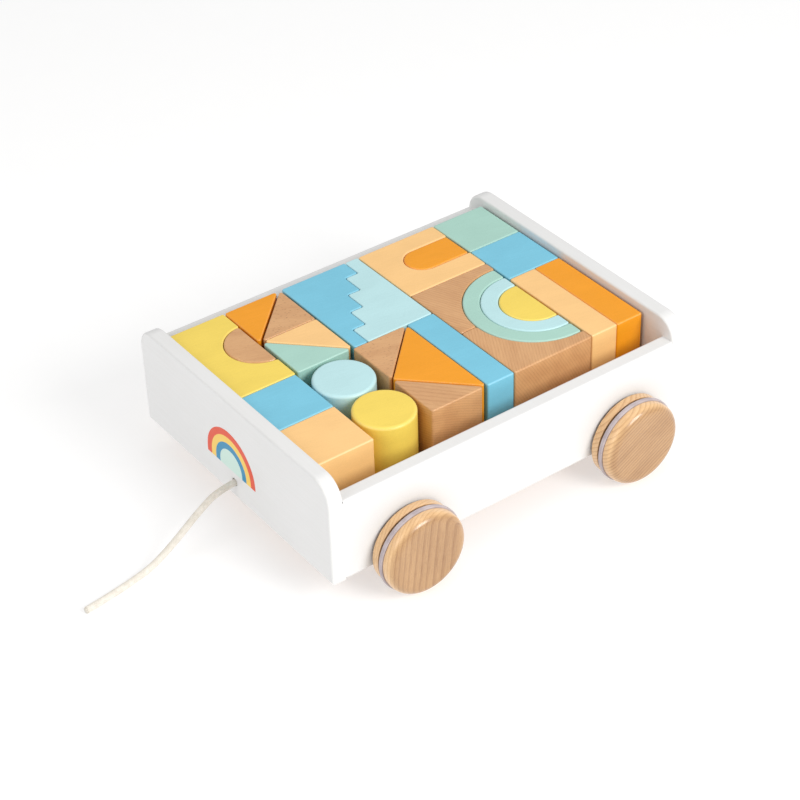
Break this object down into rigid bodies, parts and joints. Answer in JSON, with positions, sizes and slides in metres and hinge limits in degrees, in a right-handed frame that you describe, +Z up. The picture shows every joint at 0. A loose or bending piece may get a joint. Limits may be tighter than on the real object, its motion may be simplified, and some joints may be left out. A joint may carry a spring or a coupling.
{
  "type": "block wagon",
  "caption": "Low wooden pull-along wagon: white tray with raised ends, ring-tyred beech wheels, a short pull cord, and a fitted load of painted building blocks.",
  "frame": {"origin": "on the ground, midway between the outer wheel faces and midway between the end panels' outer faces", "axes": "-Y is the front, where the cord leaves; +Z up; the axles lie along X"},
  "size_m": [0.2426, 0.3796, 0.0926],
  "materials": {
    "white_paint": "white satin lacquer on beech",
    "floor_ply": "unpainted plywood",
    "beech": "natural beech, clear satin lacquer",
    "rubber_ring": "matte grey",
    "steel": "drawn",
    "nylon": "matte",
    "cotton_cord": "laid cotton, undyed",
    "paint_yellow": "water-based paint, satin",
    "paint_blue": "water-based paint, satin",
    "paint_light_blue": "water-based paint, satin",
    "paint_peach": "water-based paint, satin",
    "paint_orange": "water-based paint, satin",
    "paint_mint": "water-based paint, satin"
  },
  "bodies": {
    "tray": {"front_panel": "white_paint", "rear_panel": "white_paint", "side_board_left": "white_paint", "side_board_right": "white_paint", "floor_board": "floor_ply", "corner_dowels": "beech", "pull_cord": "cotton_cord", "cord_knot": "cotton_cord"},
    "front_wheels": {"axle_front": "steel", "wheel_front_left": "beech", "wheel_front_right": "beech", "rubber_ring_front_left": "rubber_ring", "rubber_ring_front_right": "rubber_ring", "washer_front_left": "nylon", "washer_front_right": "nylon"},
    "rear_wheels": {"axle_rear": "steel", "wheel_rear_left": "beech", "wheel_rear_right": "beech", "rubber_ring_rear_left": "rubber_ring", "rubber_ring_rear_right": "rubber_ring", "washer_rear_left": "nylon", "washer_rear_right": "nylon"},
    "block_blue_bar": {"block_blue_bar": "paint_blue"},
    "block_blue_cube_front": {"block_blue_cube_front": "paint_blue"},
    "block_blue_cube_rear": {"block_blue_cube_rear": "paint_blue"},
    "block_blue_staircase": {"block_blue_staircase": "paint_blue"},
    "block_light_blue_arch": {"block_light_blue_arch": "paint_light_blue"},
    "block_light_blue_cylinder": {"block_light_blue_cylinder": "paint_light_blue"},
    "block_light_blue_staircase": {"block_light_blue_staircase": "paint_light_blue"},
    "block_mint_arch": {"block_mint_arch": "paint_mint"},
    "block_mint_cube": {"block_mint_cube": "paint_mint"},
    "block_mint_triangle": {"block_mint_triangle": "paint_mint"},
    "block_natural_half_disc": {"block_natural_half_disc": "beech"},
    "block_natural_quarter_left": {"block_natural_quarter_left": "beech"},
    "block_natural_quarter_right": {"block_natural_quarter_right": "beech"},
    "block_natural_triangle_front": {"block_natural_triangle_front": "beech"},
    "block_natural_triangle_middle": {"block_natural_triangle_middle": "beech"},
    "block_natural_triangle_side": {"block_natural_triangle_side": "beech"},
    "block_orange_bar": {"block_orange_bar": "paint_orange"},
    "block_orange_round_end": {"block_orange_round_end": "paint_orange"},
    "block_orange_triangle_large": {"block_orange_triangle_large": "paint_orange"},
    "block_orange_triangle_small": {"block_orange_triangle_small": "paint_orange"},
    "block_peach_bar": {"block_peach_bar": "paint_peach"},
    "block_peach_cube": {"block_peach_cube": "paint_peach"},
    "block_peach_slotted": {"block_peach_slotted": "paint_peach"},
    "block_peach_triangle": {"block_peach_triangle": "paint_peach"},
    "block_yellow_archway": {"block_yellow_archway": "paint_yellow"},
    "block_yellow_cylinder": {"block_yellow_cylinder": "paint_yellow"},
    "block_yellow_half_disc": {"block_yellow_half_disc": "paint_yellow"}
  },
  "joints": [
    {"name": "front_axle_spin", "type": "hinge", "parent": "tray", "child": "front_wheels", "pos_m": [0, -0.0786, 0.0286], "axis": [1, 0, 0], "continuous": true},
    {"name": "rear_axle_spin", "type": "hinge", "parent": "tray", "child": "rear_wheels", "pos_m": [0, 0.0861, 0.0286], "axis": [1, 0, 0], "continuous": true},
    {"name": "lift_blue_bar", "type": "slide", "parent": "tray", "child": "block_blue_bar", "axis": [0, 0, 1], "range_m": [0, 0.06]},
    {"name": "lift_blue_cube_front", "type": "slide", "parent": "tray", "child": "block_blue_cube_front", "axis": [0, 0, 1], "range_m": [0, 0.06]},
    {"name": "lift_blue_cube_rear", "type": "slide", "parent": "tray", "child": "block_blue_cube_rear", "axis": [0, 0, 1], "range_m": [0, 0.06]},
    {"name": "lift_blue_staircase", "type": "slide", "parent": "tray", "child": "block_blue_staircase", "axis": [0, 0, 1], "range_m": [0, 0.06]},
    {"name": "lift_light_blue_arch", "type": "slide", "parent": "tray", "child": "block_light_blue_arch", "axis": [0, 0, 1], "range_m": [0, 0.06]},
    {"name": "lift_light_blue_cylinder", "type": "slide", "parent": "tray", "child": "block_light_blue_cylinder", "axis": [0, 0, 1], "range_m": [0, 0.06]},
    {"name": "lift_light_blue_staircase", "type": "slide", "parent": "tray", "child": "block_light_blue_staircase", "axis": [0, 0, 1], "range_m": [0, 0.06]},
    {"name": "lift_mint_arch", "type": "slide", "parent": "tray", "child": "block_mint_arch", "axis": [0, 0, 1], "range_m": [0, 0.06]},
    {"name": "lift_mint_cube", "type": "slide", "parent": "tray", "child": "block_mint_cube", "axis": [0, 0, 1], "range_m": [0, 0.06]},
    {"name": "lift_mint_triangle", "type": "slide", "parent": "tray", "child": "block_mint_triangle", "axis": [0, 0, 1], "range_m": [0, 0.06]},
    {"name": "lift_natural_half_disc", "type": "slide", "parent": "tray", "child": "block_natural_half_disc", "axis": [0, 0, 1], "range_m": [0, 0.06]},
    {"name": "lift_natural_quarter_left", "type": "slide", "parent": "tray", "child": "block_natural_quarter_left", "axis": [0, 0, 1], "range_m": [0, 0.06]},
    {"name": "lift_natural_quarter_right", "type": "slide", "parent": "tray", "child": "block_natural_quarter_right", "axis": [0, 0, 1], "range_m": [0, 0.06]},
    {"name": "lift_natural_triangle_front", "type": "slide", "parent": "tray", "child": "block_natural_triangle_front", "axis": [0, 0, 1], "range_m": [0, 0.06]},
    {"name": "lift_natural_triangle_middle", "type": "slide", "parent": "tray", "child": "block_natural_triangle_middle", "axis": [0, 0, 1], "range_m": [0, 0.06]},
    {"name": "lift_natural_triangle_side", "type": "slide", "parent": "tray", "child": "block_natural_triangle_side", "axis": [0, 0, 1], "range_m": [0, 0.06]},
    {"name": "lift_orange_bar", "type": "slide", "parent": "tray", "child": "block_orange_bar", "axis": [0, 0, 1], "range_m": [0, 0.06]},
    {"name": "lift_orange_round_end", "type": "slide", "parent": "tray", "child": "block_orange_round_end", "axis": [0, 0, 1], "range_m": [0, 0.06]},
    {"name": "lift_orange_triangle_large", "type": "slide", "parent": "tray", "child": "block_orange_triangle_large", "axis": [0, 0, 1], "range_m": [0, 0.06]},
    {"name": "lift_orange_triangle_small", "type": "slide", "parent": "tray", "child": "block_orange_triangle_small", "axis": [0, 0, 1], "range_m": [0, 0.06]},
    {"name": "lift_peach_bar", "type": "slide", "parent": "tray", "child": "block_peach_bar", "axis": [0, 0, 1], "range_m": [0, 0.06]},
    {"name": "lift_peach_cube", "type": "slide", "parent": "tray", "child": "block_peach_cube", "axis": [0, 0, 1], "range_m": [0, 0.06]},
    {"name": "lift_peach_slotted", "type": "slide", "parent": "tray", "child": "block_peach_slotted", "axis": [0, 0, 1], "range_m": [0, 0.06]},
    {"name": "lift_peach_triangle", "type": "slide", "parent": "tray", "child": "block_peach_triangle", "axis": [0, 0, 1], "range_m": [0, 0.06]},
    {"name": "lift_yellow_archway", "type": "slide", "parent": "tray", "child": "block_yellow_archway", "axis": [0, 0, 1], "range_m": [0, 0.06]},
    {"name": "lift_yellow_cylinder", "type": "slide", "parent": "tray", "child": "block_yellow_cylinder", "axis": [0, 0, 1], "range_m": [0, 0.06]},
    {"name": "lift_yellow_half_disc", "type": "slide", "parent": "tray", "child": "block_yellow_half_disc", "axis": [0, 0, 1], "range_m": [0, 0.06]}
  ]
}
